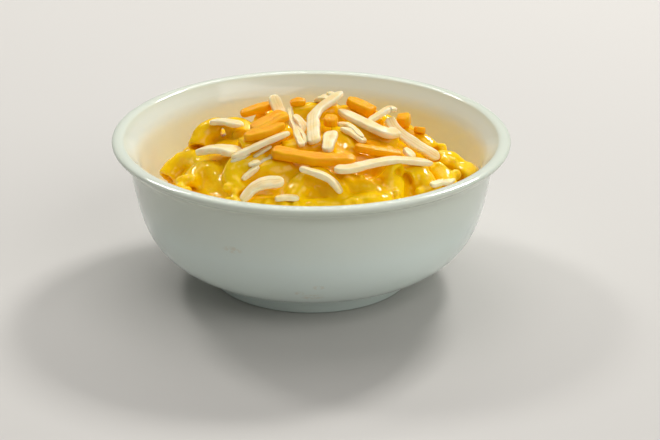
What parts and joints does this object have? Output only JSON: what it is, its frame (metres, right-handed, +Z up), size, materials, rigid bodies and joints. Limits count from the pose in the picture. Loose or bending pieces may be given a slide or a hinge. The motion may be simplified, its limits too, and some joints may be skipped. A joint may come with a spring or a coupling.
{
  "type": "macaroni and cheese in a bowl",
  "caption": "Footed porcelain bowl with a rolled rim, filled with a mound of sauced elbow macaroni under shreds of white and orange cheese.",
  "frame": {"origin": "centre of the foot ring's underside, on the table", "axes": "+Z up out of the bowl's mouth; -Y towards the side seen from the front, where the macaroni stands highest against the rim; +X to the right seen from there"},
  "size_m": [0.14, 0.14, 0.07],
  "materials": {
    "porcelain": "glossy white glaze with a faint green tint",
    "sauced_pasta": "wet glossy yellow cheese sauce over pasta",
    "white_cheese": "waxy, slightly translucent",
    "orange_cheese": "waxy, slightly oily"
  },
  "bodies": {
    "root": {"bowl": "porcelain", "macaroni": "sauced_pasta", "orange_shred_01": "orange_cheese", "orange_shred_02": "orange_cheese", "orange_shred_03": "orange_cheese", "orange_shred_04": "orange_cheese", "orange_shred_05": "orange_cheese", "orange_shred_06": "orange_cheese", "orange_shred_07": "orange_cheese", "orange_shred_08": "orange_cheese", "orange_shred_09": "orange_cheese", "orange_shred_10": "orange_cheese", "white_shred_01": "white_cheese", "white_shred_02": "white_cheese", "white_shred_03": "white_cheese", "white_shred_04": "white_cheese", "white_shred_05": "white_cheese", "white_shred_06": "white_cheese", "white_shred_07": "white_cheese", "white_shred_08": "white_cheese", "white_shred_09": "white_cheese", "white_shred_10": "white_cheese", "white_shred_11": "white_cheese", "white_shred_12": "white_cheese", "white_shred_13": "white_cheese", "white_shred_14": "white_cheese", "white_shred_15": "white_cheese", "white_shred_16": "white_cheese", "white_shred_17": "white_cheese", "white_shred_18": "white_cheese", "white_shred_19": "white_cheese", "white_shred_20": "white_cheese", "white_shred_21": "white_cheese", "white_shred_22": "white_cheese"}
  },
  "joints": []
}
